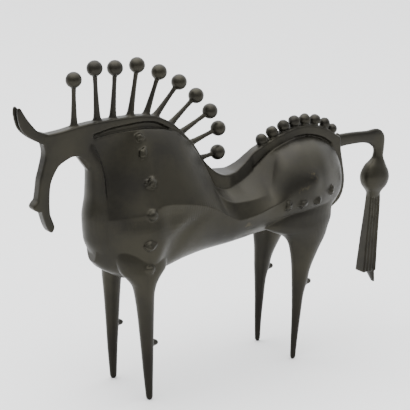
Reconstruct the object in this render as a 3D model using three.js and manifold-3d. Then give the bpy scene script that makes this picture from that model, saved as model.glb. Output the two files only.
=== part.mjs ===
// A horse in the modernist manner, in dark patinated bronze, cast in one piece: a flat plate in the
// plane of symmetry carries head, crest, back and rump, and full flanks swell from it on both sides.
// Four tapering legs end in small flat feet. Balls on thin rods make the mane, and a row of balls
// crowns the rump.
//
// Millimetres. X runs from head to tail, Y across the horse with its left side at minus Y, Z up.
// The floor is z = 0. One half is described, by its distance from the plane y = 0, and mirrored.
import * as THREE from "three";
import { mergeVertices } from "three/addons/utils/BufferGeometryUtils.js";
import Module from "manifold-3d";

const wasm = await Module();
wasm.setup();

const SIDES = [-1, 1];

// Driving dimensions
const PLATE = 8; // thickness of the plate that carries head and crest
const PLATE_EDGE = 1.2; // chamfer of its edges
const BAND = 9; // height of the plain band between crest and flank
const MANE_BALL = 5.3; // radius
const MANE_ROD = 1.5; // radius at its thinnest
const RUMP_BALL = 4.3; // radius of the larger ones
const SHOULDER_BOSS = 3.4; // radius of the small bosses on the shoulder
const HAUNCH_BOSS = 3.5; // radius of those under the haunch
const SPUR = 2; // radius of the small spur behind each leg
const TAIL_BAR = 4.8; // thickness of the bar of the tail
const TASSEL_GROOVE = 0.9; // depth of the grooves in the tassel
const CURVE_STEPS = 2; // straight pieces between two points of a drawn curve

// Solids

// A closed three.js geometry as a solid that can be joined and cut.
function solid(geometry) {
  const bare = geometry.clone();
  bare.deleteAttribute("normal");
  bare.deleteAttribute("uv");
  const merged = mergeVertices(bare, 1e-4);
  const corners = merged.index.array;
  const kept = [];
  for (let i = 0; i < corners.length; i += 3) {
    const [a, b, c] = [corners[i], corners[i + 1], corners[i + 2]];
    if (a !== b && b !== c && c !== a) kept.push(a, b, c);
  }
  return new wasm.Manifold(new wasm.Mesh({
    numProp: 3,
    vertProperties: new Float32Array(merged.attributes.position.array),
    triVerts: new Uint32Array(kept),
  }));
}

function geometryOf(manifold) {
  const mesh = manifold.getMesh();
  const geometry = new THREE.BufferGeometry();
  geometry.setAttribute("position", new THREE.BufferAttribute(mesh.vertProperties, 3));
  geometry.setIndex(new THREE.BufferAttribute(mesh.triVerts, 1));
  geometry.computeVertexNormals();
  return geometry;
}

// Skin over a row of closed rings with equally many points. Each end is closed by the given
// triangles of the ring's points, or by a fan.
function loft(rings, lid) {
  const count = rings[0].length;
  const points = rings.flat();
  const lastRing = points.length - count;
  const faces = [];
  for (let i = 0; i < lastRing; i += count) {
    for (let j = 0; j < count; j += 1) {
      const k = (j + 1) % count;
      faces.push(i + j, i + k, i + count + k, i + j, i + count + k, i + count + j);
    }
  }
  if (lid) {
    lid.forEach(([a, b, c]) => faces.push(c, b, a, lastRing + a, lastRing + b, lastRing + c));
  } else {
    const middle = (ring) => ring.reduce((sum, p) => sum.add(p), new THREE.Vector3()).divideScalar(count);
    const ends = points.push(middle(rings[0]), middle(rings.at(-1)));
    for (let j = 0; j < count; j += 1) {
      const k = (j + 1) % count;
      faces.push(ends - 2, k, j, ends - 1, lastRing + j, lastRing + k);
    }
  }
  const volume = (i) => points[faces[i]].dot(points[faces[i + 1]].clone().cross(points[faces[i + 2]]));
  let total = 0;
  for (let i = 0; i < faces.length; i += 3) total += volume(i);
  const geometry = new THREE.BufferGeometry().setFromPoints(points);
  geometry.setIndex(total < 0 ? faces.reverse() : faces);
  return geometry;
}

// Rows [x, a, b, ...] become a smooth function from x to [a, b, ...] that never overshoots a row.
function rail(rows) {
  const gaps = rows.slice(1).map((row, i) => row[0] - rows[i][0]);
  const slopes = (k) => {
    const rise = gaps.map((gap, i) => (rows[i + 1][k] - rows[i][k]) / gap);
    const inner = rise.slice(1).map((next, i) => (next * rise[i] > 0 ? 2 / (1 / next + 1 / rise[i]) : 0));
    return [rise[0], ...inner, rise.at(-1)];
  };
  const tangents = rows[0].map((_, k) => (k ? slopes(k) : null));
  return (x) => {
    const last = gaps.length - 1;
    const found = gaps.findIndex((_, i) => x <= rows[i + 1][0]);
    const i = found < 0 ? last : found;
    const t = THREE.MathUtils.clamp((x - rows[i][0]) / gaps[i], 0, 1);
    const ease = t * t * (3 - 2 * t);
    return rows[i].slice(1).map((from, n) => {
      const to = rows[i + 1][n + 1];
      const [leaving, arriving] = [tangents[n + 1][i], tangents[n + 1][i + 1]];
      const turn = leaving * t * (1 - t) ** 2 - arriving * t * t * (1 - t);
      return from + (to - from) * ease + turn * gaps[i];
    });
  };
}

// A hump of height 1 around a point of the side view, with the given reaches.
function hump(x, z, [centreX, centreZ], [reachX, reachZ]) {
  return Math.exp(-(((x - centreX) / reachX) ** 2) - ((z - centreZ) / reachZ) ** 2);
}

// Flanks
// Each row of a rail is [x, distance from the middle plane, height].

// Foot of the plain band: the upper edge of the flank.
const bandFoot = rail([
  [-98, 3, 180], [-70, 3, 182.5], [-54, 3, 182], [-44, 3, 180], [-34, 3, 174], [-24, 3, 165],
  [-14, 3, 151], [-6, 4, 142.5], [3, 4, 139.6], [14, 3, 138.4], [24, 3, 139], [34, 3, 143],
  [44, 3, 149.8], [54, 3, 154.3], [66, 3, 156], [78, 3, 154.8], [88, 3, 151.8], [98, 3, 145.5],
  [109, 2.5, 132],
]);
// Lip: the sharp edge that leaves the crest behind the neck and runs along the saddle.
const lip = rail([
  [-98, 5, 176], [-60, 7, 178], [-44, 7, 176], [-30, 6, 168.5], [-22, 5.5, 164], [-15, 7, 155.5],
  [-12.5, 11, 147], [-10, 15, 138], [-7.5, 19, 131], [-3, 22, 127], [3, 23, 125], [18, 22, 124.4],
  [32, 20, 125.5], [42, 18, 129], [52, 18, 139], [62, 18.5, 145], [76, 18, 145], [88, 15, 141],
  [98, 10, 135], [109, 4, 128],
]);
// Ridge: the fullest line of chest, flank and haunch.
const ridge = rail([
  [-98, 7, 126], [-90, 16, 128], [-80, 23, 130], [-70, 28, 132], [-60, 30, 136], [-44, 30, 134],
  [-28, 29.5, 130], [-15, 28.5, 124], [-5, 27.5, 117.5], [4, 27, 113.5], [17, 27, 114.8], [32, 27, 118.6],
  [45, 27.5, 122], [60, 29, 124], [74, 27.5, 124], [88, 22, 122], [100, 14, 120], [109, 4, 118],
]);
// Keel: the lowest line of chest and belly, in the middle plane.
const keel = rail([
  [-98, 97], [-92, 91], [-84, 87], [-74, 83], [-62, 82], [-50, 83.5], [-42, 85.5], [-30, 90],
  [-12, 93], [14, 93], [36, 96], [66, 98], [90, 101], [100, 107], [109, 113],
]);
// How the flank swells between lip and ridge, below 1 full and above 1 hollow, and how square
// it turns under the belly.
const fullness = rail([
  [-98, 2, 3.2], [-82, 1.9, 3.4], [-72, 1.5, 3.4], [-66, 1.1, 3.2], [-60, 0.62, 3], [-48, 0.75, 2.6],
  [-30, 0.9, 2.2], [-12, 1.1, 2], [36, 1, 2], [50, 0.7, 2], [64, 0.55, 2.2], [109, 0.6, 2.2],
]);
// Oval dish in the front of the haunch.
const DISH = { at: [48, 140], reach: [8.5, 13], depth: 3.2 };
const HIP = { at: [65, 133], reach: [8, 9], height: 2 };

const TOP_OVERLAP = 1; // how far the flank runs up inside the plate
const TOP_STEPS = 2;
const PANEL_STEPS = 6;
const UNDER_STEPS = 5;

// Half of the flank's section at x, as [distance from the middle plane, height] from top to keel.
function halfSection(x) {
  const [footWidth, footHeight] = bandFoot(x);
  const [lipWidth, lipHeight] = lip(x);
  const [ridgeWidth, ridgeHeight] = ridge(x);
  const [swell, square] = fullness(x);
  const [keelHeight] = keel(x);
  const half = [[0, footHeight + TOP_OVERLAP]];
  for (let i = 0; i < TOP_STEPS; i += 1) {
    const s = i / TOP_STEPS;
    half.push([footWidth + (lipWidth - footWidth) * s, footHeight + (lipHeight - footHeight) * s]);
  }
  for (let i = 0; i < PANEL_STEPS; i += 1) {
    const s = i / PANEL_STEPS;
    const width = lipWidth + (ridgeWidth - lipWidth) * s ** swell;
    half.push([width, lipHeight + (ridgeHeight - lipHeight) * s]);
  }
  for (let i = 0; i < UNDER_STEPS; i += 1) {
    const fall = Math.sin((i / UNDER_STEPS) * Math.PI / 2);
    const width = ridgeWidth * (1 - fall ** square) ** (1 / square);
    half.push([width, ridgeHeight + (keelHeight - ridgeHeight) * fall]);
  }
  const carved = half.slice(1).map(([width, z]) => {
    const relief = HIP.height * hump(x, z, HIP.at, HIP.reach) - DISH.depth * hump(x, z, DISH.at, DISH.reach);
    return [width + relief, z];
  });
  return [half[0], ...carved, [0, keelHeight]];
}

// Stations lie closer together behind the neck, where the lip falls steeply.
const STATIONS = [
  -98, -94, -89, -83, -77, -72, -68, -64.5, -61, -55, -47, -39, -31, -24, -19, -15.5, -13, -11,
  -9, -7, -4, 1, 7, 14, 22, 30, 37, 43, 48, 54, 60, 66, 73, 81, 89, 97, 103, 109,
];

function flanks() {
  return loft(STATIONS.map((x) => {
    const half = halfSection(x);
    const near = half.map(([width, z]) => new THREE.Vector3(x, -width, z));
    const far = half.slice(1, -1).reverse().map(([width, z]) => new THREE.Vector3(x, width, z));
    return [...near, ...far];
  }));
}

// Rounded front of neck and chest
// Rows [height, foremost x, half width]. It stands proud of the flank, with a crease behind it.
const BREAST = [
  [183, -103.5, 2.5], [176, -102.5, 5.5], [166, -101, 8], [155, -100, 9.5], [142, -100.3, 11],
  [127, -102.6, 13.2], [113, -101.8, 13.6], [103, -98, 12.5], [95, -92, 9.5], [88, -85, 5],
];
const BREAST_DEPTH = 19;
const BREAST_SIDES = 16;

function breast() {
  return loft(BREAST.map(([z, front, halfWidth]) => {
    const ring = [];
    for (let i = 0; i < BREAST_SIDES; i += 1) {
      const angle = (i / BREAST_SIDES) * 2 * Math.PI;
      const x = front + (BREAST_DEPTH / 2) * (1 - Math.cos(angle));
      ring.push(new THREE.Vector3(x, halfWidth * Math.sin(angle), z));
    }
    return ring;
  }));
}

// Middle plate

// An outline drawn in the side view, x and height, made solid symmetrically about the middle plane,
// with its edges chamfered.
function slab(shape, thickness, edge) {
  const outline = shape.getPoints(CURVE_STEPS);
  if (THREE.ShapeUtils.isClockWise(outline)) outline.reverse();
  const count = outline.length;
  const inset = outline.map((point, i) => {
    const along = outline[(i + 1) % count].clone().sub(outline[(i + count - 1) % count]).normalize();
    return new THREE.Vector2(point.x - along.y * edge, point.y + along.x * edge);
  });
  const ring = (points, y) => points.map((point) => new THREE.Vector3(point.x, y, point.y));
  const [outer, inner] = [thickness / 2, thickness / 2 - edge];
  const rings = [ring(inset, -outer), ring(outline, -inner), ring(outline, inner), ring(inset, outer)];
  return loft(rings, THREE.ShapeUtils.triangulateShape(outline, []));
}

const vector = ([x, z]) => new THREE.Vector2(x, z);

// From the poll along the crest, over hollow back and rump, and back along belly, throat and face.
const POLL = [-133, 188.6];
const CREST = [
  [-119, 189.4], [-108, 190.8], [-92, 191.6], [-66, 191.2], [-54, 190], [-46, 187.8], [-34.6, 181.3],
  [-26.7, 174.1], [-18.6, 165.3], [-10.9, 153.6], [-4, 145.2], [4, 141.3], [13, 141.3], [21, 144.5],
  [31, 151.3],
];
const RUMP_ARC = [
  [38, 154.4], [49, 158.6], [59, 161.5], [68, 163.2], [77, 163.3], [86, 161.6], [94.3, 158.5], [101, 154.3],
];
const TAIL_ROOT = [107.5, 150];
const REAR = [[108.5, 140], [110.4, 130], [112, 119.5], [111.2, 111], [107.6, 104], [101, 99.5]];
const KEEL_EDGE = [
  [-62, 84], [-73.7, 81.5], [-81.5, 84.8], [-87.2, 88.4], [-91.7, 92.4], [-95.8, 98], [-99.6, 108],
  [-100, 120],
];
const THROAT = [[-99, 155], [-102.5, 166], [-107.5, 170.6], [-113, 171.2]];
const JAW = [[-121.7, 167.4], [-126.3, 161.5], [-129, 155], [-130, 144.1], [-129.8, 136]];
const MUZZLE = [
  [-127.6, 130], [-126.8, 126.8], [-128.4, 123.8], [-130.6, 124.4], [-133.3, 129.5], [-136, 138.6],
];
const NOSTRIL = [[-138.6, 138.9], [-141.6, 141.2], [-141.6, 143.6], [-138.7, 146.6]];
const FACE = [[-137.6, 152.8], [-136.5, 160], [-134.3, 167], [-132.1, 176], [-133.2, 183]];

function plate() {
  const shape = new THREE.Shape();
  shape.moveTo(...POLL);
  shape.splineThru([...CREST, ...RUMP_ARC].map(vector));
  shape.lineTo(...TAIL_ROOT);
  shape.splineThru(REAR.map(vector));
  shape.lineTo(...KEEL_EDGE[0]);
  shape.splineThru(KEEL_EDGE.slice(1).map(vector));
  shape.splineThru([...THROAT, ...JAW].map(vector));
  shape.splineThru(MUZZLE.map(vector));
  shape.splineThru(NOSTRIL.map(vector));
  shape.splineThru(FACE.map(vector));
  return slab(shape, PLATE, PLATE_EDGE);
}

// The back widens into a flat seat in the hollow behind the neck. Rows [x, half width, height].
const seatTop = rail([
  [-16, 3, 160], [-9, 7.5, 149.5], [-3, 10, 143.8], [4, 10.5, 141.3], [12, 8, 141.2], [20, 5.8, 144],
  [30, 4, 150.6],
]);
const SEAT_STATIONS = [-16, -12, -8, -4, 0, 4, 8, 12, 16, 20, 25, 30];
const SEAT_FLARE = 0.5; // how much wider it is at its foot, on each side

function seat() {
  return loft(SEAT_STATIONS.map((x) => {
    const [halfWidth, top] = seatTop(x);
    const corners = [
      [halfWidth - PLATE_EDGE, top], [halfWidth, top - PLATE_EDGE], [halfWidth + SEAT_FLARE, top - 2 * BAND],
    ];
    const mirrored = corners.map(([y, z]) => [-y, z]).reverse();
    return [...corners, ...mirrored].map(([y, z]) => new THREE.Vector3(x, y, z));
  }));
}

// Legs
// Rows [height, x, distance from the middle plane, half length along X, half width across].
const FORELEG = [
  [0, -68.5, 22.6, 2.3, 2.2], [21, -69.4, 22.6, 3.5, 3.3], [44, -70, 22.3, 4.8, 4.3],
  [64, -70.6, 22, 6, 5.4], [75, -71, 21.6, 6.9, 6.5], [81, -70.6, 20.8, 8.2, 7.8],
  [86, -70.2, 19.6, 11.8, 9], [92, -69.5, 18, 17.4, 10], [101, -70, 15.5, 19, 10.6], [114, -70, 12, 17, 9],
];
const HINDLEG = [
  [0, 53.8, 20.9, 1.9, 1.9], [16, 54.9, 20.9, 2.5, 2.4], [35, 56.6, 20.7, 3.4, 3.3], [47, 57.6, 20.5, 4.2, 4],
  [58, 59.4, 20.3, 6.1, 4.9], [64, 60.3, 20, 6.9, 5.4], [78, 63.9, 19, 11.2, 7], [88, 66.2, 18, 16.2, 8.3],
  [93, 64.7, 17.4, 20, 9.3], [97, 61.3, 16.8, 25.8, 10], [101, 59.5, 16, 29.5, 10.4],
  [107, 61, 14.8, 29.3, 11], [116, 69, 12, 24.5, 11.4], [126, 70, 9, 20, 9],
];
// The right legs rise a little further inward than the left: how far each leans forward, for each
// millimetre of its height.
const RIGHT_FORE_LEAN = -0.025;
const RIGHT_HIND_LEAN = 0.045;
const LEG_SIDES = 10;

function leg(rows, side, lean = 0) {
  return loft(rows.map(([z, x, y, halfLength, halfWidth]) => {
    const middle = x - lean * z;
    const ring = [];
    for (let i = 0; i < LEG_SIDES; i += 1) {
      const angle = ((i + 0.5) / LEG_SIDES) * 2 * Math.PI;
      const across = side * (y + halfWidth * Math.sin(angle));
      ring.push(new THREE.Vector3(middle + halfLength * Math.cos(angle), across, z));
    }
    return ring;
  }));
}

// Spurs: [x, distance from the middle plane, height] of the tip, and the slope at which it rises.
const FORE_SPUR = { tip: [-61.4, 22.4, 39.6], lean: [1, 0.1] };
const HIND_SPUR = { tip: [69.2, 20.4, 55.2], lean: [1, 0.15] };
const SPUR_LENGTH = 8;
// Rows [share of SPUR, share of the length].
const SPUR_PROFILE = [[0, 0], [1.5, 0], [1, 0.6], [1, 0.8], [0.6, 0.97], [0, 1]];
const STEM_SIDES = 7;

// A round-headed stem from one point to another: rows [radius, share of the length].
function stem(from, to, rows, sides) {
  const length = from.distanceTo(to);
  const profile = rows.map(([radius, share]) => new THREE.Vector2(radius, share * length));
  const geometry = new THREE.LatheGeometry(profile, sides);
  const up = new THREE.Vector3(0, 1, 0);
  const turn = new THREE.Quaternion().setFromUnitVectors(up, to.clone().sub(from).normalize());
  return geometry.applyQuaternion(turn).translate(from.x, from.y, from.z);
}

function spur({ tip: [x, y, z], lean: [along, rise] }, side, lean = 0) {
  const tip = new THREE.Vector3(x - lean * z, side * y, z);
  const root = tip.clone().sub(new THREE.Vector3(along, 0, rise).setLength(SPUR_LENGTH));
  return stem(root, tip, SPUR_PROFILE.map(([size, share]) => [size * SPUR, share]), STEM_SIDES);
}

// Mane
// Ten rods fan out from the crest, each with a ball at its end. Rows [x, height] of foot and ball.
const MANE = [
  [[-109, 190], [-108.5, 220.5]], [[-91.7, 191], [-92.9, 225.9]], [[-80, 190.5], [-77.6, 224.1]],
  [[-66.6, 190.5], [-60.8, 223.8]], [[-54.6, 189], [-43.8, 216.9]], [[-47.8, 187], [-28.1, 208.1]],
  [[-36, 180], [-14.5, 197]], [[-28.4, 172.8], [-3.2, 184.7]], [[-20.5, 164.6], [3.5, 171.8]],
  [[-13, 153.2], [3.1, 155.2]],
];
const BALL_SIDES = 8;
const BALL_RINGS = 4;

// Rod and ball are turned as one: the rod thins from its foot and swells into the ball.
// The rod's rows are [share of MANE_ROD, share of the way to the ball].
const ROD_PROFILE = [[0, 0], [1.75, 0], [1.3, 0.4], [1, 0.75], [1.15, 0.96]];
const BALL_START = 0.1; // where the ball's surface leaves the rod, as a share of pole to pole

function maneRod([foot, ball]) {
  const from = new THREE.Vector3(foot[0], 0, foot[1]);
  const to = new THREE.Vector3(ball[0], 0, ball[1]);
  const length = from.distanceTo(to);
  const neck = length - MANE_BALL;
  const share = (distance) => distance / length;
  const rows = ROD_PROFILE.map(([size, way]) => [MANE_ROD * size, share(neck * way)]);
  for (let i = 1; i <= BALL_RINGS; i += 1) {
    const angle = Math.PI * (BALL_START + ((1 - BALL_START) * i) / BALL_RINGS);
    const radius = i === BALL_RINGS ? 0 : MANE_BALL * Math.sin(angle);
    rows.push([radius, share(length - MANE_BALL * Math.cos(angle))]);
  }
  return stem(from, to, rows, BALL_SIDES);
}

// Rump balls: [x, height] of the centre, and the size against the larger ones.
const RUMP = [
  [40, 158, 1], [49, 162.1, 1], [58.7, 165, 1], [68.2, 166.8, 1], [77.4, 166.8, 0.98], [86.6, 165, 0.95],
  [95.4, 161.4, 0.92], [102.3, 156.3, 0.82],
];

const RUMP_FINENESS = [8, 6]; // segments around and from pole to pole
const BOSS_FINENESS = [6, 4];

function ball(x, y, z, radius, fineness) {
  return new THREE.SphereGeometry(radius, ...fineness).translate(x, y, z);
}

// Bosses on the flank: [x, height, size], set on the surface of the flank.
const SHOULDER_BOSSES = [
  [-67.5, 180.3, 0.85], [-67.5, 169, 1], [-66, 149.5, 1.15], [-65.5, 129.5, 1.1],
  [-68.5, 109.5, 1.3], [-71, 95, 0.9],
];
const HAUNCH_BOSSES = [[43.5, 116.5, 1], [55.5, 115.5, 1.05], [68.8, 115.2, 1], [82, 120.4, 1]];

// Distance of the flank's surface from the middle plane at a point of the side view.
function flankAt(x, z) {
  const half = halfSection(x);
  const i = half.findIndex((point, n) => n > 0 && point[1] <= z);
  const [above, below] = [half[i - 1], half[i]];
  return above[0] + (below[0] - above[0]) * (above[1] - z) / (above[1] - below[1]);
}

// Tail
// A flat bar leaves the rump, turns down at a rounded corner, swells into a knot, and ends in a
// square tassel that is grooved on both sides. Rows [x, height, half width, share of TAIL_BAR].
const TAIL = [
  [100, 145.5, 5, 1], [108, 146.4, 4.8, 1], [121, 146.4, 4.4, 1], [134, 145.3, 4.5, 1], [143.4, 142.8, 7, 1],
  [145.9, 136, 4.8, 1], [145.4, 129.5, 4.2, 1.2], [144.8, 125, 6.6, 1.8], [143.8, 120.5, 9.8, 2.6],
  [142.9, 114.5, 11.4, 3.2], [142.4, 108.5, 9.8, 2.9], [142.1, 103.6, 5.8, 2], [142, 100, 4.6, 1.6],
];
const TAIL_SIDES = 12;
const TAIL_CORNER = 2.6; // 2 is an ellipse, more is squarer

// Rings square to a path in the side view.
function sweep(rows) {
  return loft(rows.map(([x, z, halfWidth, thickness], i) => {
    const before = rows[Math.max(i - 1, 0)];
    const after = rows[Math.min(i + 1, rows.length - 1)];
    const along = new THREE.Vector2(after[0] - before[0], after[1] - before[1]).normalize();
    const ring = [];
    for (let n = 0; n < TAIL_SIDES; n += 1) {
      const angle = ((n + 0.5) / TAIL_SIDES) * 2 * Math.PI;
      const power = (value) => Math.sign(value) * Math.abs(value) ** (2 / TAIL_CORNER);
      const u = halfWidth * power(Math.cos(angle));
      const y = (TAIL_BAR / 2) * thickness * power(Math.sin(angle));
      ring.push(new THREE.Vector3(x - along.y * u, y, z + along.x * u));
    }
    return ring;
  }));
}

// Tassel. Rows [x, height, half length along X, half width across].
const TASSEL = [
  [142.1, 104, 4.4, 3.2], [141.8, 97, 4.7, 3.5], [139.2, 70, 5.3, 4.5], [136.8, 43.5, 6, 5.3],
];
const TASSEL_GROOVES = [-0.45, 0.05, 0.55]; // share of the half length
const GROOVE_REACH = 0.2; // half the width of each, as a share of the half length

// The section is a rectangle with three grooves in each long side.
function tassel() {
  return loft(TASSEL.map(([x, z, halfLength, halfWidth]) => {
    const grooves = TASSEL_GROOVES.flatMap((share) => [
      [(share - GROOVE_REACH) * halfLength, halfWidth],
      [share * halfLength, halfWidth - TASSEL_GROOVE],
      [(share + GROOVE_REACH) * halfLength, halfWidth],
    ]);
    const side = [[-halfLength, halfWidth], ...grooves, [halfLength, halfWidth]];
    const otherSide = side.map(([u, y]) => [-u, -y]);
    return [...side, ...otherSide].map(([u, y]) => new THREE.Vector3(x + u, y, z));
  }));
}

// Its rear corner runs on into a point, below the blunt front. Rows as the tassel's.
const TASSEL_TIP = [[140, 45, 3, 5.1], [144, 33.3, 0.7, 1.9]];

function tasselTip() {
  return loft(TASSEL_TIP.map(([x, z, halfLength, halfWidth]) => {
    const corners = [[-1, -1], [1, -1], [1, 1], [-1, 1]];
    return corners.map(([u, y]) => new THREE.Vector3(x + u * halfLength, y * halfWidth, z));
  }));
}

// Ears
// Two thin leaves side by side, leaning forward from the poll.
const EAR = 2.2; // thickness
const EAR_EDGE = 0.5; // chamfer
const EAR_SPREAD = 2.7; // distance of each from the middle plane
const EAR_ROOT = [[-132, 182], [-126, 187.5]];
const EAR_FRONT = [[-141, 187], [-148, 193.3], [-150.7, 200.2], [-151.3, 206.6]];
const EAR_REAR = [[-149.4, 208.8], [-145.2, 202], [-140.4, 195.6], [-136, 191.4]];

function ear(side) {
  const shape = new THREE.Shape();
  shape.moveTo(...EAR_ROOT[0]);
  shape.splineThru(EAR_FRONT.map(vector));
  shape.splineThru(EAR_REAR.map(vector));
  shape.lineTo(...EAR_ROOT[1]);
  return slab(shape, EAR, EAR_EDGE).translate(0, side * EAR_SPREAD, 0);
}

// Casting
// Every form above is one metal, joined into one body. Its length is centred on the origin.
function horse() {
  const forms = [flanks(), breast(), plate(), seat(), sweep(TAIL), tassel(), tasselTip()];
  forms.push(...MANE.map(maneRod));
  forms.push(...RUMP.map(([x, z, size]) => ball(x, 0, z, RUMP_BALL * size, RUMP_FINENESS)));
  for (const side of SIDES) {
    const [fore, hind] = side > 0 ? [RIGHT_FORE_LEAN, RIGHT_HIND_LEAN] : [0, 0];
    forms.push(leg(FORELEG, side, fore), spur(FORE_SPUR, side, fore));
    forms.push(leg(HINDLEG, side, hind), spur(HIND_SPUR, side, hind), ear(side));
    const boss = (radius) => ([x, z, size]) => ball(x, side * flankAt(x, z), z, radius * size, BOSS_FINENESS);
    forms.push(...SHOULDER_BOSSES.map(boss(SHOULDER_BOSS)), ...HAUNCH_BOSSES.map(boss(HAUNCH_BOSS)));
  }
  const casting = forms.map(solid).reduce((whole, form) => whole.add(form));
  const geometry = geometryOf(casting);
  geometry.computeBoundingBox();
  const { min, max } = geometry.boundingBox;
  return geometry.translate(-(min.x + max.x) / 2, 0, 0);
}

const bronze = new THREE.MeshStandardMaterial({
  name: "patinated_bronze", color: 0x3d3a33, roughness: 0.45, metalness: 0.8,
});

const group = new THREE.Group();
const figure = new THREE.Mesh(horse(), bronze);
figure.name = "horse";
group.add(figure);

export default group;
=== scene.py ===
import math

import bmesh
import bpy
import numpy as np
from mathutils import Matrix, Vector, noise


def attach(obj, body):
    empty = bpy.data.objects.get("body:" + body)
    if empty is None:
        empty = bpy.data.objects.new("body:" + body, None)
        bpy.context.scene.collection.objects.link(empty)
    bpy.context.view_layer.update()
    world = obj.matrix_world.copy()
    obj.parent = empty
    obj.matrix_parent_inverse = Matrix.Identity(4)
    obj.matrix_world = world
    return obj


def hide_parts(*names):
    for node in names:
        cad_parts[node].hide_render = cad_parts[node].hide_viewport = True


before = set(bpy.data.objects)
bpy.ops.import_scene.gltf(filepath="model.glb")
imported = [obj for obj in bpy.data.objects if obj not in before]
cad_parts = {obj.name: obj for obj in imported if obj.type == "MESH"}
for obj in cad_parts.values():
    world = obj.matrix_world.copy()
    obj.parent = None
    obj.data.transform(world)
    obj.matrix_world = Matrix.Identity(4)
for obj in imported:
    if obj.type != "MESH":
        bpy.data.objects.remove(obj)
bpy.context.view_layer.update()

# Flanks
# The horse is one bronze casting. Its body was modelled in wax as two full flanks, swelling from a
# crisp lip along neck, back and haunch and turning under to a keel. Rows are [x, distance from the
# middle plane, height] in millimetres, from head to tail.
MM = 0.001
MIDDLE = 1.23  # x of the frame's origin, measured from where the wax model was set out


def metres(x, y, z):
    return Vector(((x - MIDDLE) * MM, y * MM, z * MM))


def rail(rows):
    """Rows [x, a, b, ...] become a smooth function from x to [a, b, ...] that never overshoots."""
    table = np.array(rows, float)
    x, values = table[:, 0], table[:, 1:]
    gaps = np.diff(x)
    rise = np.diff(values, axis=0) / gaps[:, None]
    slopes = np.vstack([rise[:1], np.zeros((len(rows) - 2, values.shape[1])), rise[-1:]])
    same = rise[:-1] * rise[1:] > 0
    slopes[1:-1][same] = 2 / (1 / rise[:-1][same] + 1 / rise[1:][same])

    def at(place):
        i = int(np.clip(np.searchsorted(x, place) - 1, 0, len(gaps) - 1))
        t = float(np.clip((place - x[i]) / gaps[i], 0, 1))
        ease = t * t * (3 - 2 * t)
        turn = slopes[i] * t * (1 - t) ** 2 - slopes[i + 1] * t * t * (1 - t)
        return values[i] + (values[i + 1] - values[i]) * ease + turn * gaps[i]

    return at


# Top: where the flank meets the web under the crest. Lip: the crisp upper edge. Ridge: the fullest
# line. Keel: the lowest line.
flank_top = rail([
    [-98, 2, 180], [-82, 2, 181.6], [-62, 2, 181.6], [-44, 2, 179.2], [-34, 2.4, 175.5], [-24, 2.4, 167.5],
    [-14, 3, 151], [-6, 4, 138], [3, 4, 135.4], [14, 3, 135], [24, 3, 137.5], [34, 2.6, 142.6],
    [44, 2.6, 148.2], [54, 2.6, 152.4], [66, 2.6, 154.6], [78, 2.6, 153.8], [88, 2.6, 150.6],
    [98, 2.6, 144.5], [109, 2, 131],
])
flank_lip = rail([
    [-98, 3.8, 180.6], [-92, 4.4, 181.6], [-82, 5, 182.4], [-72, 5.2, 182.6], [-60, 5.4, 182.3],
    [-52, 5.4, 181.4], [-44, 5.2, 179.9], [-34, 5, 176], [-24, 5, 167.8], [-18, 5.6, 160.6],
    [-15, 7, 155.5], [-12.5, 11, 147], [-10, 15, 138], [-7.5, 19, 131], [-3, 22, 127],
    [3, 23, 125], [18, 22, 124.4], [32, 20, 125.5], [42, 16.5, 130.5], [52, 14.5, 142.5],
    [62, 14, 149], [76, 13.6, 148.6], [88, 11.5, 144.6], [98, 8, 138], [109, 3.6, 128],
])
flank_ridge = rail([
    [-98, 7, 126], [-90, 16, 128], [-80, 23, 130], [-70, 28, 132], [-60, 30, 136], [-44, 30, 134],
    [-28, 29.5, 130], [-15, 28.5, 124], [-5, 27.5, 117.5], [4, 27, 113.5], [17, 27, 114.8],
    [32, 27, 118.6], [45, 27.5, 122], [60, 29, 124], [74, 27.5, 124], [88, 22, 122], [100, 14, 120],
    [109, 4, 118],
])
flank_keel = rail([
    [-98, 97], [-92, 91], [-84, 87], [-74, 83], [-62, 82], [-50, 83.5], [-42, 85.2], [-30, 87.2],
    [-12, 89.2], [14, 91.6], [36, 93.8], [66, 96.4], [90, 99.5], [100, 106], [109, 113],
])
# How the flank swells between lip and ridge, below 1 full and above 1 hollow, and how square it
# turns under the belly.
flank_fullness = rail([
    [-98, 2, 3.2], [-82, 1.75, 3.4], [-72, 1.4, 3.4], [-66, 1.05, 3.2], [-61, 0.85, 3], [-48, 0.8, 2.6],
    [-30, 0.9, 2.2], [-12, 1.1, 2], [36, 1, 2], [50, 0.9, 2], [109, 0.9, 2.2],
])
# The dome of the haunch rises straight out of a groove under the rump.
dome_edge = rail([
    [28, 140], [38, 147.3], [52, 152.2], [66, 155.6], [77, 155.2], [89, 151.4], [99, 145], [106, 134.6],
    [109, 130],
])
DOME_ROUND = 1.8
DOME_START = (31, 50)
FLANK_LENGTH = (-98, 109)
FLANK_STEP = 1.3  # between two sections
TOP_STEPS, PANEL_STEPS, UNDER_STEPS = 8, 34, 24


def bump(x, z, centre, reach, flat=1):
    """Height 1 at a point of the side view, falling off at the given reaches; flat broadens its top."""
    square = ((x - centre[0]) / reach[0]) ** 2 + ((z - centre[1]) / reach[1]) ** 2
    return math.exp(-(square ** flat))


def step(value, low, high):
    t = min(1, max(0, (value - low) / (high - low)))
    return t * t * (3 - 2 * t)


# The edge of the shoulder, from the foreleg up to the ridge, as [height, x]; behind it the flank is
# scooped out.
shoulder_edge = rail([[79, -64], [96, -61], [103, -58], [111, -53.5], [117, -47.5], [122, -40], [130, -36]])
CHINE = 1.7  # how far the flank steps in under its ridge


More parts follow.
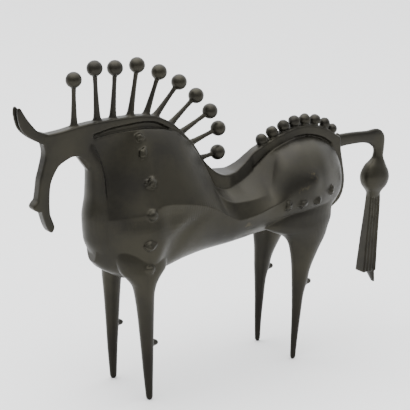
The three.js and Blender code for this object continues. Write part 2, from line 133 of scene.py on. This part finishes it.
def flank_relief(x, z, ridge_height):
    relief = 2 * bump(x, z, (65, 132), (7.5, 7.5))
    if z < 130:
        behind = x - shoulder_edge(max(z, 79))[0]
        fade = step(z, 130, 118)
        relief += 1.6 * (1 - step(behind, -7, 5)) * fade * step(x, -96, -80)
        relief -= 1.2 * math.exp(-(((behind - 9) / 7) ** 2)) * fade
    if z < ridge_height:
        reach = step(x, -66, -52) * (1 - step(x, 26, 44))
        relief -= CHINE * reach * (1 - math.exp(-(ridge_height - z) / 3.5))
    return relief


def flank_section(x):
    """Half of the flank's section at x, as [distance from the middle plane, height] from top to keel."""
    top, lip, ridge = flank_top(x), flank_lip(x), flank_ridge(x)
    swell, square = flank_fullness(x)
    keel = flank_keel(x)[0]
    half = [top + (lip - top) * i / TOP_STEPS for i in range(TOP_STEPS)]
    for i in range(PANEL_STEPS):
        s = i / PANEL_STEPS
        half.append(np.array([lip[0] + (ridge[0] - lip[0]) * s ** swell, lip[1] + (ridge[1] - lip[1]) * s]))
    domed = step(x, *DOME_START)
    if domed:
        edge = dome_edge(x)[0]
        for i in range(len(half)):
            angle = i / len(half) * math.pi / 2
            rise = math.cos(angle) ** (2 / DOME_ROUND), math.sin(angle) ** (2 / DOME_ROUND)
            dome = np.array([2.6 + (ridge[0] - 2.6) * rise[1], ridge[1] + (edge - ridge[1]) * rise[0]])
            half[i] = half[i] + (dome - half[i]) * domed
    for i in range(UNDER_STEPS):
        fall = math.sin(i / UNDER_STEPS * math.pi / 2)
        width = ridge[0] * (1 - fall ** square) ** (1 / square)
        half.append(np.array([width, ridge[1] + (keel - ridge[1]) * fall]))
    return [(max(0.3, width + flank_relief(x, z, ridge[1])), z) for width, z in half], keel


def skin(name, rings):
    """A closed skin drawn ring by ring: the last ring's face is extruded and set on the next points."""
    bpy.ops.object.select_all(action="DESELECT")
    bpy.ops.mesh.primitive_circle_add(vertices=len(rings[0]), radius=1, fill_type="NGON")
    form = bpy.context.active_object
    form.name = name
    bpy.ops.object.mode_set(mode="EDIT")
    mesh = bmesh.from_edit_mesh(form.data)
    for vertex, point in zip(mesh.verts, rings[0]):
        vertex.co = point
    before = rings[0]
    for ring in rings[1:]:
        bpy.ops.mesh.extrude_region_move()
        mesh = bmesh.from_edit_mesh(form.data)
        order = {tuple(point): i for i, point in enumerate(before)}
        for vertex in [vertex for vertex in mesh.verts if vertex.select]:
            vertex.co = ring[order[tuple(vertex.co)]]
        before = ring
    bpy.ops.mesh.select_all(action="SELECT")
    bpy.ops.mesh.normals_make_consistent(inside=False)
    bpy.ops.object.mode_set(mode="OBJECT")
    return form


def flank_ring(x):
    half, keel = flank_section(x)
    left = [metres(x, -width, z) for width, z in half]
    right = [metres(x, width, z) for width, z in reversed(half)]
    return left + [metres(x, 0, keel)] + right


stations = np.linspace(*FLANK_LENGTH, round((FLANK_LENGTH[1] - FLANK_LENGTH[0]) / FLANK_STEP))
flanks = skin("flanks", [flank_ring(x) for x in stations])

# Breast
# A rounded front of neck and chest, laid on the flanks with a crisp edge behind it. Rows are [height,
# foremost x, half width, x of that edge].
breast_line = rail([
    [88, -85, 5, -80], [95, -92, 9.5, -85], [103, -98, 12.5, -88], [113, -101.8, 13.6, -90],
    [127, -102.6, 13.2, -91.5], [142, -100.3, 11, -92.6], [155, -100, 9.4, -93], [166, -101, 7.6, -94.8],
    [176, -102.5, 4.6, -98], [183, -103.5, 2.5, -99.5],
])
BREAST_SIDES = 40
BREAST_BACK = [(0.7, -0.25), (1.3, -1), (1.7, -2.4), (2.2, -4)]  # beyond the crease, and inward


def breast_ring(z):
    front, half_width, crease = breast_line(z)
    side = []
    for i in range(1, BREAST_SIDES // 2 + 1):
        angle = math.pi * i / BREAST_SIDES
        side.append((crease + (front - crease) * math.cos(angle), half_width * math.sin(angle)))
    side += [(crease + back, max(0.4, half_width + fall)) for back, fall in BREAST_BACK]
    side += [(crease + 6, max(0.3, half_width - 6.5))]
    other = [(x, -y) for x, y in reversed(side)]
    return [metres(front, 0, z)] + [metres(x, y, z) for x, y in side + other]


breast = skin("breast", [breast_ring(z) for z in np.linspace(88, 183, 64)])

# Middle plate
# A flat plate in the plane of symmetry carries head, crest, back and rump. It was cut from a sheet of
# wax, 8 mm thick, with its edges eased, and is thinner under the crest, where a groove runs.
PLATE = 4  # half its thickness
EDGE = 1.2


def curve_through(points, steps):
    """Points on a smooth curve through the given ones."""
    points = [np.array(point, float) for point in points]
    ends = [points[0]] + points + [points[-1]]
    curve = []
    for a, b, c, d in zip(ends, ends[1:], ends[2:], ends[3:]):
        for t in np.arange(steps) / steps:
            pull = (c - a) / 2, (d - b) / 2
            curve.append(
                (2 * b - 2 * c + pull[0] + pull[1]) * t ** 3 + (3 * c - 3 * b - 2 * pull[0] - pull[1]) * t ** 2
                + pull[0] * t + b
            )
    return curve + [points[-1]]


def cut_plate(name, outline, half_thickness, edge, offset=0):
    """An outline in the side view, extruded across the horse, its edges rounded over."""
    bpy.ops.object.select_all(action="DESELECT")
    bpy.ops.mesh.primitive_circle_add(vertices=len(outline), radius=1, fill_type="NGON")
    form = bpy.context.active_object
    form.name = name
    bpy.ops.object.mode_set(mode="EDIT")
    mesh = bmesh.from_edit_mesh(form.data)
    for vertex, (x, z) in zip(mesh.verts, outline):
        vertex.co = metres(x, offset - half_thickness, z)
    bpy.ops.mesh.extrude_region_move(TRANSFORM_OT_translate={"value": (0, 2 * half_thickness * MM, 0)})
    mesh = bmesh.from_edit_mesh(form.data)
    for face in mesh.faces:
        face.select_set(False)
    for face in mesh.faces:
        if len(face.verts) == len(outline):
            for side in face.edges:
                side.select_set(True)
    mesh.select_mode = {"EDGE"}
    bpy.ops.mesh.bevel(offset=edge * MM, segments=3, affect="EDGES")
    bpy.ops.mesh.select_all(action="SELECT")
    bpy.ops.mesh.normals_make_consistent(inside=False)
    bpy.ops.object.mode_set(mode="OBJECT")
    return form


POLL = (-133, 188.6)
CREST = [
    (-119, 189.4), (-108, 190.8), (-92, 191.6), (-66, 191.2), (-54, 190), (-46, 187.8), (-34.6, 181.3),
    (-26.7, 174.1), (-18.6, 165.3), (-10.9, 153.6), (-4, 145.2), (4, 141.3), (13, 141.3), (21, 144.5),
    (31, 151.3), (38, 154.4), (49, 158.6), (59, 161.5), (68, 163.2), (77, 163.3), (86, 161.6),
    (94.3, 158.5), (101, 154.3), (107.5, 150),
]
REAR = [(107.5, 150), (108.5, 140), (110.4, 130), (112, 119.5), (111.2, 111), (107.6, 104), (101, 99.5)]
KEEL_EDGE = [
    (-62, 84), (-73.7, 81.5), (-81.5, 84.8), (-87.2, 88.4), (-91.7, 92.4), (-95.8, 98), (-99.6, 108),
    (-100, 120),
]
THROAT = [(-100, 120), (-99, 155), (-102.5, 166), (-107.5, 170.6), (-113, 171.2)]
JAW = [(-113, 171.2), (-121.7, 167.4), (-126.3, 161.5), (-129, 155), (-130, 144.1), (-129.8, 136)]
MUZZLE = [
    (-129.8, 136), (-127.6, 130), (-126.8, 126.8), (-128.4, 123.8), (-130.6, 124.4), (-133.3, 129.5),
    (-136, 138.6),
]
NOSTRIL = [(-136, 138.6), (-138.6, 138.9), (-141.6, 141.2), (-141.6, 143.6), (-138.7, 146.6)]
FACE = [(-138.7, 146.6), (-137.6, 152.8), (-136.5, 160), (-134.3, 167), (-132.1, 176), (-133.2, 183), POLL]
CURVE_STEPS = 5
top_line = curve_through([POLL] + CREST, CURVE_STEPS)
rear_line = curve_through(REAR, CURVE_STEPS)
front_line = curve_through(KEEL_EDGE, CURVE_STEPS)
face_line = [
    point for part in (THROAT, JAW, MUZZLE, NOSTRIL, FACE) for point in curve_through(part, CURVE_STEPS)[:-1]
]
head_line = [point for point in face_line if point[0] < -99.2 or point[1] > 150]
neck_top = [point for point in top_line if point[0] < -95]
head = cut_plate("head", head_line + neck_top, PLATE, EDGE)
WEB = 2.4
WEB_FOOT = [(95, 110), (60, 106), (0, 102), (-40, 98), (-62, 97), (-80, 100), (-90, 112), (-93, 150), (-112, 176)]
web = cut_plate("web", top_line[:-1] + [np.array(point) for point in WEB_FOOT], WEB, 0.6)

# The full thickness is kept in a rim along crest, back, rump and breech, and in the strip under the
# chest. Rows are [x, height] of its edge and how deep it runs into the plate.
crest_depth = rail([
    [-150, 8.3], [-96, 8], [-85, 6.2], [-71, 5.2], [-58, 4.5], [-45, 4.2], [-34, 4.4], [-20, 5.5], [-10, 7],
    [0, 9], [30, 9], [42, 7.2], [68, 7], [110, 7],
])


def rim(name, line, depth_at):
    rings = []
    for i, point in enumerate(line):
        before, after = line[max(i - 1, 0)], line[min(i + 1, len(line) - 1)]
        along = (after - before) / np.linalg.norm(after - before)
        inward = np.array([along[1], -along[0]])
        depth = depth_at(point)
        corners = [(0, EDGE), (EDGE * 0.3, EDGE * 0.3), (EDGE, 0), (depth - 0.8, 0), (depth, 0.8)]
        side = [(deep, PLATE - low) for deep, low in corners]
        ring = side + [(deep, -y) for deep, y in reversed(side)]
        rings.append([metres(*(point + inward * deep)[:1], y, (point + inward * deep)[1]) for deep, y in ring])
    return skin(name, rings)


crest_rim = rim("crest_rim", top_line, lambda point: float(crest_depth(point[0])[0]))
rear_rim = rim("rear_rim", rear_line, lambda point: 9)
chest_rim = rim("chest_rim", front_line, lambda point: 7)

# Seat
# Behind the neck the back widens into a flat seat. Rows are [x, half width, height].
seat_top = rail([
    [-16, 3, 160], [-9, 7.5, 149.5], [-3, 10, 143.8], [4, 10.5, 141.3], [12, 8, 141.2], [20, 5.8, 144],
    [30, 4, 150.6],
])
SEAT_FOOT = 18
SEAT_FLARE = 0.5


def seat_ring(x):
    half_width, top = seat_top(x)
    side = [
        (half_width - EDGE, top), (half_width - EDGE * 0.3, top - EDGE * 0.3), (half_width, top - EDGE),
        (half_width + SEAT_FLARE, top - SEAT_FOOT),
    ]
    return [metres(x, y, z) for y, z in side] + [metres(x, -y, z) for y, z in reversed(side)]


seat = skin("seat", [seat_ring(x) for x in np.linspace(-16, 30, 36)])

# Legs
# Four round legs taper to small flat feet, and a spur grows from the back of each. Rows are [height, x,
# distance from the middle plane, half length, half width]. The right ones rise further inward.
foreleg_line = rail([
    [0, -68.5, 22.6, 2.3, 2.2], [21, -69.4, 22.6, 3.5, 3.3], [44, -70, 22.3, 4.8, 4.3],
    [64, -70.6, 22, 6, 5.4], [75, -71, 21.6, 6.9, 6.5], [81, -70.6, 20.8, 8.2, 7.8],
    [86, -70.2, 19.6, 11.8, 9], [92, -69.5, 18, 17.4, 10], [101, -70, 15.5, 19, 10.6], [114, -70, 12, 17, 9],
])
hindleg_line = rail([
    [0, 53.8, 20.9, 1.9, 1.9], [16, 54.9, 20.9, 2.5, 2.4], [35, 56.6, 20.7, 3.4, 3.3], [47, 57.6, 20.5, 4.2, 4],
    [58, 59.4, 20.3, 6.1, 4.9], [64, 60.3, 20, 6.9, 5.4], [78, 63.9, 19, 11.2, 7], [88, 66.2, 18, 16.2, 8.3],
    [93, 64.7, 17.4, 20, 9.3], [97, 61.3, 16.8, 25.8, 10], [101, 59.5, 16, 29.5, 10.4],
    [107, 61, 14.8, 29.3, 11], [116, 69, 12, 24.5, 11.4], [126, 70, 9, 20, 9],
])
RIGHT_FORE_LEAN = -0.025
RIGHT_HIND_LEAN = 0.045
LEG_SIDES = 36
LEG_STEP = 2
FOOT_HEIGHT = 2  # over which the edge of the foot rounds over
FOOT_EASE = 0.9
FOOT_STEPS = [0, 0.3, 0.8, 1.4]


def leg(name, line, top, side, lean):
    rings = []
    for z in FOOT_STEPS + list(np.linspace(FOOT_HEIGHT, top, round(top / LEG_STEP))):
        x, y, half_length, half_width = line(z)
        eased = FOOT_EASE * max(0, 1 - z / FOOT_HEIGHT) ** 2
        half_length -= eased
        half_width -= eased
        angles = [2 * math.pi * i / LEG_SIDES for i in range(LEG_SIDES)]
        rings.append([
            metres(x - lean * z + half_length * math.cos(a), side * (y + half_width * math.sin(a)), z)
            for a in angles
        ])
    return skin(name, rings)


def turned(name, foot, tip, profile, sides):
    """A round form along the line from foot to tip: rows are [radius, share of the length]."""
    foot, tip = Vector(foot), Vector(tip)
    along = tip - foot
    turn = Vector((0, 0, 1)).rotation_difference(along)
    rings = []
    for radius, share in profile:
        middle = foot + along * share
        spokes = [turn @ Vector((radius * math.cos(a), radius * math.sin(a), 0))
                  for a in [2 * math.pi * i / sides for i in range(sides)]]
        rings.append([metres(*(middle + spoke)) for spoke in spokes])
    return skin(name, rings)


# A spur grows out of the back of the leg like a thorn. Rows are [distance from the tip, half height,
# half width, how far its middle lies above the tip].
SPUR = [
    (9, 7.5, 2.2, 0.5), (7, 6, 2.3, 0.6), (5.6, 4.6, 2.2, 0.7), (4.4, 3.3, 2, 0.7), (3.2, 2.5, 1.9, 0.5),
    (2, 2.1, 1.8, 0.2), (1, 1.7, 1.5, 0.1), (0.35, 1.1, 1, 0), (0, 0.3, 0.3, 0),
]
SPURS = {"fore": (-61.2, 22.4, 39.6), "hind": (69.2, 20.4, 55.4)}


def spur(place, side, lean):
    x, y, z = place
    rings = []
    for before, half_height, half_width, above in SPUR:
        angles = [2 * math.pi * i / 24 for i in range(24)]
        rings.append([
            metres(x - lean * z - before, side * y + half_width * math.cos(a), z + above + half_height * math.sin(a))
            for a in angles
        ])
    return skin("spur", rings)


legs = []
for side, fore_lean, hind_lean in ((-1, 0, 0), (1, RIGHT_FORE_LEAN, RIGHT_HIND_LEAN)):
    legs += [leg("foreleg", foreleg_line, 114, side, fore_lean), spur(SPURS["fore"], side, fore_lean)]
    legs += [leg("hindleg", hindleg_line, 126, side, hind_lean), spur(SPURS["hind"], side, hind_lean)]

# Mane
# Ten thin rods fan out from the crest, each drawn up from a small foot and ending in a ball of wax.
# Rows are [x, height] of foot and ball.
MANE = [
    [(-109, 190), (-108.5, 220.5)], [(-91.7, 191), (-92.9, 225.9)], [(-80, 190.5), (-77.6, 224.1)],
    [(-66.6, 190.5), (-60.8, 223.8)], [(-54.6, 189), (-43.8, 216.9)], [(-47.8, 187), (-28.1, 208.1)],
    [(-36, 180), (-14.5, 197)], [(-28.4, 172.8), (-3.2, 184.7)], [(-20.5, 164.6), (3.5, 171.8)],
    [(-13, 153.2), (3.1, 155.2)],
]
MANE_ROD = 1.5
MANE_BALL = 5.3
NECK_ANGLE = 0.3  # of the ball, where the rod runs into it
BALL_SIDES = 28


def ball_rows(radius, length):
    angles = np.linspace(NECK_ANGLE, math.pi - 0.03, 14)
    return [(radius * math.sin(a), (length - radius * math.cos(a)) / length) for a in angles]


mane = []
for foot, top in MANE:
    length = math.dist(foot, top)
    neck = (length - MANE_BALL) / length
    rod = [(MANE_ROD * size, neck * way) for size, way in (
        (2.2, 0), (1.95, 0.04), (1.6, 0.1), (1.35, 0.25), (1.2, 0.45), (1.03, 0.7), (1, 0.85), (1.08, 0.95))]
    profile = rod + ball_rows(MANE_BALL, length)
    mane.append(turned("mane_rod", (foot[0], 0, foot[1]), (top[0], 0, top[1]), profile, BALL_SIDES))

# Tail
# A flat bar leaves the rump, turns down at a rounded corner, swells into a knot and ends in a square
# tassel, grooved on both sides. Rows are [x, height, half width, half thickness].
TAIL = [
    (100, 145.5, 5, 2.4), (108, 146.4, 4.8, 2.4), (121, 146.4, 4.4, 2.4), (134, 145.3, 4.5, 2.4),
    (143.4, 142.8, 7, 2.4), (145.9, 136, 4.8, 2.4), (145.4, 129.5, 4.2, 2.9), (144.8, 125, 6.6, 4.3),
    (143.8, 120.5, 9.8, 6.2), (142.9, 114.5, 11.4, 7.7), (142.4, 108.5, 9.8, 7), (142.1, 103.6, 5.8, 4.8),
    (142, 100, 4.6, 3.8),
]
TAIL_CORNER = 2.6  # 2 is an ellipse, more is squarer
tail_rows = curve_through(TAIL, 5)
tail_rings = []
for i, (x, z, half_width, half_thickness) in enumerate(tail_rows):
    before, after = tail_rows[max(i - 1, 0)], tail_rows[min(i + 1, len(tail_rows) - 1)]
    along = (after - before)[:2] / np.linalg.norm((after - before)[:2])
    ring = []
    for a in [2 * math.pi * (n + 0.5) / 40 for n in range(40)]:
        u = half_width * math.copysign(abs(math.cos(a)) ** (2 / TAIL_CORNER), math.cos(a))
        y = half_thickness * math.copysign(abs(math.sin(a)) ** (2 / TAIL_CORNER), math.sin(a))
        ring.append(metres(x - along[1] * u, y, z + along[0] * u))
    tail_rings.append(ring)
tail = skin("tail", tail_rings)

tassel_line = rail([[43.5, 136.8, 6, 5.3], [70, 139.2, 5.3, 4.5], [97, 141.8, 4.7, 3.5], [104, 142.1, 4.4, 3.2]])
TASSEL_GROOVES = (-0.45, 0.05, 0.55)
GROOVE_REACH = 0.16
GROOVE_DEPTH = 0.95


def tassel_ring(z):
    x, half_length, half_width = tassel_line(z)
    side = []
    for share in np.linspace(-1, 1, 49):
        groove = max(math.exp(-(((share - at) / GROOVE_REACH) ** 2)) for at in TASSEL_GROOVES)
        round_off = 0.7 * max(0, abs(share) - 0.86) / 0.14
        side.append((share * half_length, half_width - GROOVE_DEPTH * groove - round_off))
    other = [(-u, -y) for u, y in side]
    return [metres(x + u, y, z) for u, y in side + other]


tassel = skin("tassel", [tassel_ring(z) for z in np.linspace(43.5, 104, 40)])
tip_line = rail([[33.3, 144, 0.7, 1.9], [45, 140, 3, 5.1]])
tip_rings = []
for z in np.linspace(45, 33.3, 12):
    x, half_length, half_width = tip_line(z)
    ring = [(half_length * math.cos(a), half_width * math.sin(a)) for a in np.arange(24) * math.pi / 12]
    tip_rings.append([metres(x + u, y, z) for u, y in ring])
tassel_tip = skin("tassel_tip", tip_rings)

# Ears
# Two thin leaves side by side lean forward from the poll.
EAR = [
    (-132, 182), (-141, 187), (-148, 193.3), (-150.7, 200.2), (-151.3, 206.6), (-149.4, 208.8),
    (-145.2, 202), (-140.4, 195.6), (-136, 191.4), (-126, 187.5),
]
ear_outline = curve_through(EAR, 4)
ears = [cut_plate("ear", ear_outline, 1.1, 0.5, side * 2.7) for side in (-1, 1)]

# Rump balls and bosses
# Balls of wax stand in a row along the rump, and rough pellets were pressed on shoulder and haunch.
# Rows are [x, height, size] for the balls.
RUMP_BALL = 4.3
RUMP = [
    (40, 158, 1), (49, 162.1, 1), (58.7, 165, 1), (68.2, 166.8, 1), (77.4, 166.8, 0.98), (86.6, 165, 0.95),
    (95.4, 161.4, 0.92), (102.3, 156.3, 0.82), (107.2, 150.9, 0.35),
]
# Rows for the pellets are [x, height, half length, half height, how rough, which shape].
BOSSES = [
    (-64.3, 177.6, 3.4, 3.1, 0.22, 3), (-64.6, 167.6, 3, 4.2, 0.3, 11), (-64.3, 149.9, 3.9, 3.9, 0.34, 7),
    (-68, 130.6, 3.8, 3.9, 0.12, 19), (-70.2, 110.5, 4.7, 3.7, 0.26, 23), (-70.2, 93.6, 3.6, 3.3, 0.1, 31),
    (43.5, 116.3, 3.4, 3.7, 0.3, 41), (55.5, 116, 3.9, 3.3, 0.34, 47), (68.8, 116, 3.6, 3.3, 0.26, 53),
    (82.4, 121, 3.7, 3.9, 0.4, 61),
]
SINK = 0.3  # share of its radius that a pellet is pressed in


def pellet(name, centre, radii, rough, shape):
    """A hand-rolled ball of wax: a sphere with soft dents, different for each shape number."""
    bpy.ops.object.select_all(action="DESELECT")
    bpy.ops.mesh.primitive_ico_sphere_add(subdivisions=5, radius=1)
    form = bpy.context.active_object
    form.name = name
    bpy.ops.object.mode_set(mode="EDIT")
    mesh = bmesh.from_edit_mesh(form.data)
    for vertex in mesh.verts:
        at = vertex.co * 1.1 + Vector((shape, 0, 0))
        vertex.co *= 1 + rough * noise.noise(at) + rough * 0.6 * noise.noise(at * 2.2)
    bpy.ops.transform.resize(value=tuple(radius * MM for radius in radii), center_override=(0, 0, 0))
    bpy.ops.transform.translate(value=metres(*centre))
    bpy.ops.object.mode_set(mode="OBJECT")
    return form


def joined(forms, name):
    bpy.ops.object.select_all(action="DESELECT")
    for form in forms:
        form.select_set(True)
    bpy.context.view_layer.objects.active = forms[0]
    bpy.ops.object.join()
    forms[0].name = name
    return forms[0]


body = joined([flanks, breast, head, web, crest_rim, rear_rim, chest_rim, seat, tail, tassel, tassel_tip]
              + legs + mane + ears, "horse_casting")
beads = []
for i, (x, z, size) in enumerate(RUMP):
    beads.append(pellet("rump_ball", (x, 0, z), [RUMP_BALL * size] * 3, 0.07, i * 5 + 2))
for side in (-1, 1):
    for x, z, half_length, half_height, rough, shape in BOSSES:
        found, place, normal, face = body.ray_cast(metres(x, side * 60, z), (0, -side, 0))
        depth = min(half_length, half_height)
        y = place.y / MM - side * depth * SINK
        beads.append(pellet("boss", (x, y, z), (half_length, depth, half_height), rough, shape))

# Casting
# All of it was burnt out and cast in one pour, so every form runs into the next without a joint.
VOXEL = 0.55
casting = joined([body] + beads, "horse_casting")
remesh = casting.modifiers.new("one_skin", "REMESH")
remesh.mode = "VOXEL"
remesh.voxel_size = VOXEL * MM
bpy.ops.object.modifier_apply(modifier="one_skin")
relax = casting.modifiers.new("eased", "SMOOTH")
relax.factor = 0.5
relax.iterations = 2
bpy.ops.object.modifier_apply(modifier="eased")
TRIANGLES = 190000
faces = sum(len(face.vertices) - 2 for face in casting.data.polygons)
thin = casting.modifiers.new("thinned", "DECIMATE")
thin.ratio = min(1, TRIANGLES / faces)
bpy.ops.object.modifier_apply(modifier="thinned")
bpy.ops.object.shade_smooth()
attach(casting, "root")
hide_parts("horse")

# Handling wears the patina on what stands proud, and what lies deep is darkened as painted shade in the hollows.
# Both are read from how each point of the metal stands against its neighbours.
count = len(casting.data.vertices)
points = np.empty(count * 3)
casting.data.vertices.foreach_get("co", points)
points = points.reshape(-1, 3)
normals = np.empty(count * 3)
casting.data.vertex_normals.foreach_get("vector", normals)
normals = normals.reshape(-1, 3)
edges = np.empty(len(casting.data.edges) * 2, int)
casting.data.edges.foreach_get("vertices", edges)
edges = edges.reshape(-1, 2)
neighbours = np.maximum(np.bincount(edges.ravel(), minlength=count), 1)


def beside(values):
    """The mean of a value over each point's neighbours."""
    total = np.bincount(edges[:, 0], values[edges[:, 1]], count)
    return (total + np.bincount(edges[:, 1], values[edges[:, 0]], count)) / neighbours


mean_place = np.stack([beside(points[:, axis]) for axis in range(3)], axis=1)
proud = ((points - mean_place) * normals).sum(axis=1) / MM
SOFTENING = 6
for turn in range(SOFTENING):
    proud = (proud + beside(proud)) / 2
EVEN, FULLY_PROUD = 0.045, 0.16  # millimetres against the neighbours
for name, sign in (("worn", 1), ("deep", -1)):
    layer = casting.data.attributes.new(name, "FLOAT", "POINT")
    layer.data.foreach_set("value", np.clip((sign * proud - EVEN) / (FULLY_PROUD - EVEN), 0, 1))


class Patina:
    """One value in the bronze's finish; arithmetic on it adds Math nodes to the material."""

    def __init__(self, tree, socket=None):
        self.tree = tree
        self.socket = socket

    def node(self, kind, settings=None, values=None, output=0):
        made = self.tree.nodes.new(kind)
        for name, value in (settings or {}).items():
            setattr(made, name, value)
        for name, value in (values or {}).items():
            if isinstance(value, Patina):
                self.tree.links.new(value.socket, made.inputs[name])
            else:
                made.inputs[name].default_value = value
        return Patina(self.tree, made.outputs[output])

    def maths(self, operation, first, second):
        return self.node("ShaderNodeMath", {"operation": operation}, {0: first, 1: second})

    def __add__(self, other):
        return self.maths("ADD", self, other)

    def __radd__(self, other):
        return self.maths("ADD", other, self)

    def __sub__(self, other):
        return self.maths("SUBTRACT", self, other)

    def __rsub__(self, other):
        return self.maths("SUBTRACT", other, self)

    def __mul__(self, other):
        return self.maths("MULTIPLY", self, other)

    def __rmul__(self, other):
        return self.maths("MULTIPLY", other, self)

    def between(self, low, high):
        """0 at low, 1 at high, eased between them."""
        limits = {"Value": self, "From Min": low, "From Max": high}
        return self.node("ShaderNodeMapRange", {"interpolation_type": "SMOOTHSTEP"}, limits)

    def tint(self, under, over):
        """This value lays one colour over another."""
        return self.node("ShaderNodeMix", {"data_type": "RGBA"}, {0: self, 6: under, 7: over}, 2)


bronze = bpy.data.materials.new("patinated_bronze")
bronze.use_nodes = True
tree = bronze.node_tree
shader = tree.nodes["Principled BSDF"]
patina = Patina(tree)
place = patina.node("ShaderNodeTexCoord", output=3)
split = [patina.node("ShaderNodeSeparateXYZ", None, {"Vector": place}, axis) for axis in range(3)]
along, across, height = split
flank = patina.node("ShaderNodeMath", {"operation": "ABSOLUTE"}, {0: across})
folded = patina.node("ShaderNodeCombineXYZ", None, {"X": along, "Y": flank, "Z": height})


def mottle(scale, detail):
    return patina.node("ShaderNodeTexNoise", None, {"Vector": place, "Scale": scale, "Detail": detail})


cloudy = mottle(28, 3).between(0.25, 0.75)
speckled = mottle(420, 4)
worn = patina.node("ShaderNodeAttribute", {"attribute_name": "worn"}, output=2)
# deep carries the painted shade of the hollows.
deep = patina.node("ShaderNodeAttribute", {"attribute_name": "deep"}, output=2)

# Brown-black patina, olive where it is thin, darker towards the feet, with painted shade darkening the hollows.
DARK = (0.0185, 0.017, 0.0135, 1)
OLIVE = (0.029, 0.0265, 0.0185, 1)
BLACK = (0.007, 0.0055, 0.004, 1)
BRASS = (0.2, 0.165, 0.085, 1)
olive = (cloudy * 0.7 + speckled * 0.3).between(0.15, 0.8)
colour = olive.tint(DARK, OLIVE)
legs_dark = (1 - height.between(0.015, 0.085)) * 0.8
colour = legs_dark.tint(colour, BLACK)
# Painted shade: the hollows are darkened towards black.
colour = (deep * 0.75).tint(colour, BLACK)

# Rubbed through to the brass on hip, haunch and belly, and a little on every edge. Rows are [x,
# distance from the middle plane, height, reach] of the rubbed spots.
RUBBED = [(63.2, 26.2, 135.8, 5), (64.8, 27.6, 133, 6), (58, 27.8, 128, 6), (53, 27, 125.5, 5),
          (11, 25.5, 108, 9)]
rubbed = worn * 0.25
for x, y, z, reach in RUBBED:
    away = patina.node("ShaderNodeVectorMath", {"operation": "DISTANCE"}, {0: folded, 1: metres(x, y, z)}, 1)
    rubbed = rubbed + (1 - away.between(0, reach * MM)) * speckled.between(0.3, 0.7) * 0.3
rubbed = rubbed.between(0.05, 1)
colour = rubbed.tint(colour, BRASS)
tree.links.new(colour.socket, shader.inputs["Base Color"])
rough = 0.36 + speckled * 0.14 + deep * 0.2 - rubbed * 0.06
tree.links.new(rough.socket, shader.inputs["Roughness"])
shader.inputs["Metallic"].default_value = 0.8

# The skin keeps the grain of the mould, soft hand marks, and fine upright strokes across the chest
# and under the shoulder's ridge.
chest = height.between(0.117, 0.121) * (1 - height.between(0.126, 0.13)) * (1 - along.between(-0.082, -0.074))
under = height.between(0.118, 0.123) * (1 - height.between(0.13, 0.135)) * (1 - along.between(-0.024, -0.014))
under = under * along.between(-0.064, -0.058)
upright = patina.node("ShaderNodeTexWave", {"bands_direction": "X"}, {
    "Vector": place, "Scale": 160, "Distortion": 1.2, "Detail": 2,
})
relief = speckled * 0.12 + mottle(70, 2) * 0.5 + (chest + under) * upright * 0.35
skin_marks = patina.node("ShaderNodeBump", None, {"Height": relief, "Strength": 0.35, "Distance": 0.0004})
tree.links.new(skin_marks.socket, shader.inputs["Normal"])
casting.data.materials.clear()
casting.data.materials.append(bronze)

# Studio
# A plain pale sweep under a large soft light, and the camera at the photograph's angle.
bpy.ops.object.select_all(action="DESELECT")
bpy.ops.mesh.primitive_plane_add(size=8)
floor = bpy.context.active_object
floor.name = "floor"
paper = bpy.data.materials.new("paper")
paper.use_nodes = True
paper.node_tree.nodes["Principled BSDF"].inputs["Base Color"].default_value = (0.82, 0.82, 0.81, 1)
paper.node_tree.nodes["Principled BSDF"].inputs["Roughness"].default_value = 0.9
floor.data.materials.append(paper)

bpy.ops.object.camera_add(location=(-0.67735, -0.95421, 0.48666))
camera = bpy.context.active_object
camera.name = "camera"
aim = Vector((-0.00846, 0, 0.11946)) - camera.location
camera.rotation_euler = aim.to_track_quat("-Z", "Y").to_euler()
camera.data.lens = 158.05
camera.data.sensor_width = 36
bpy.context.scene.camera = camera

world = bpy.data.worlds.new("studio")
bpy.context.scene.world = world
world.use_nodes = True
air = Patina(world.node_tree)
sky = air.node("ShaderNodeTexCoord")
up = air.node("ShaderNodeSeparateXYZ", None, {"Vector": sky}, 2)
behind = air.node("ShaderNodeVectorMath", {"operation": "DOT_PRODUCT"}, {0: sky, 1: (0.58, 0.81, 0)}, 1)
LOW, BACKDROP, OVERHEAD = 0.35, 1.5, 2.2  # how bright the room is in front, behind the horse and above
glow = LOW + behind.between(-0.3, 0.6) * BACKDROP + up.between(0.25, 0.9) * OVERHEAD
backdrop = world.node_tree.nodes["Background"]
backdrop.inputs["Color"].default_value = (0.97, 0.98, 1, 1)
world.node_tree.links.new(glow.socket, backdrop.inputs["Strength"])


def soft_light(name, place, aim_at, size, power):
    bpy.ops.object.light_add(type="AREA", location=place)
    lamp = bpy.context.active_object
    lamp.name = name
    lamp.data.size = size
    lamp.data.energy = power
    lamp.rotation_euler = (Vector(aim_at) - Vector(place)).to_track_quat("-Z", "Y").to_euler()


soft_light("overhead", (-0.15, 0.1, 1.4), (0, 0, 0.1), 1.6, 22)
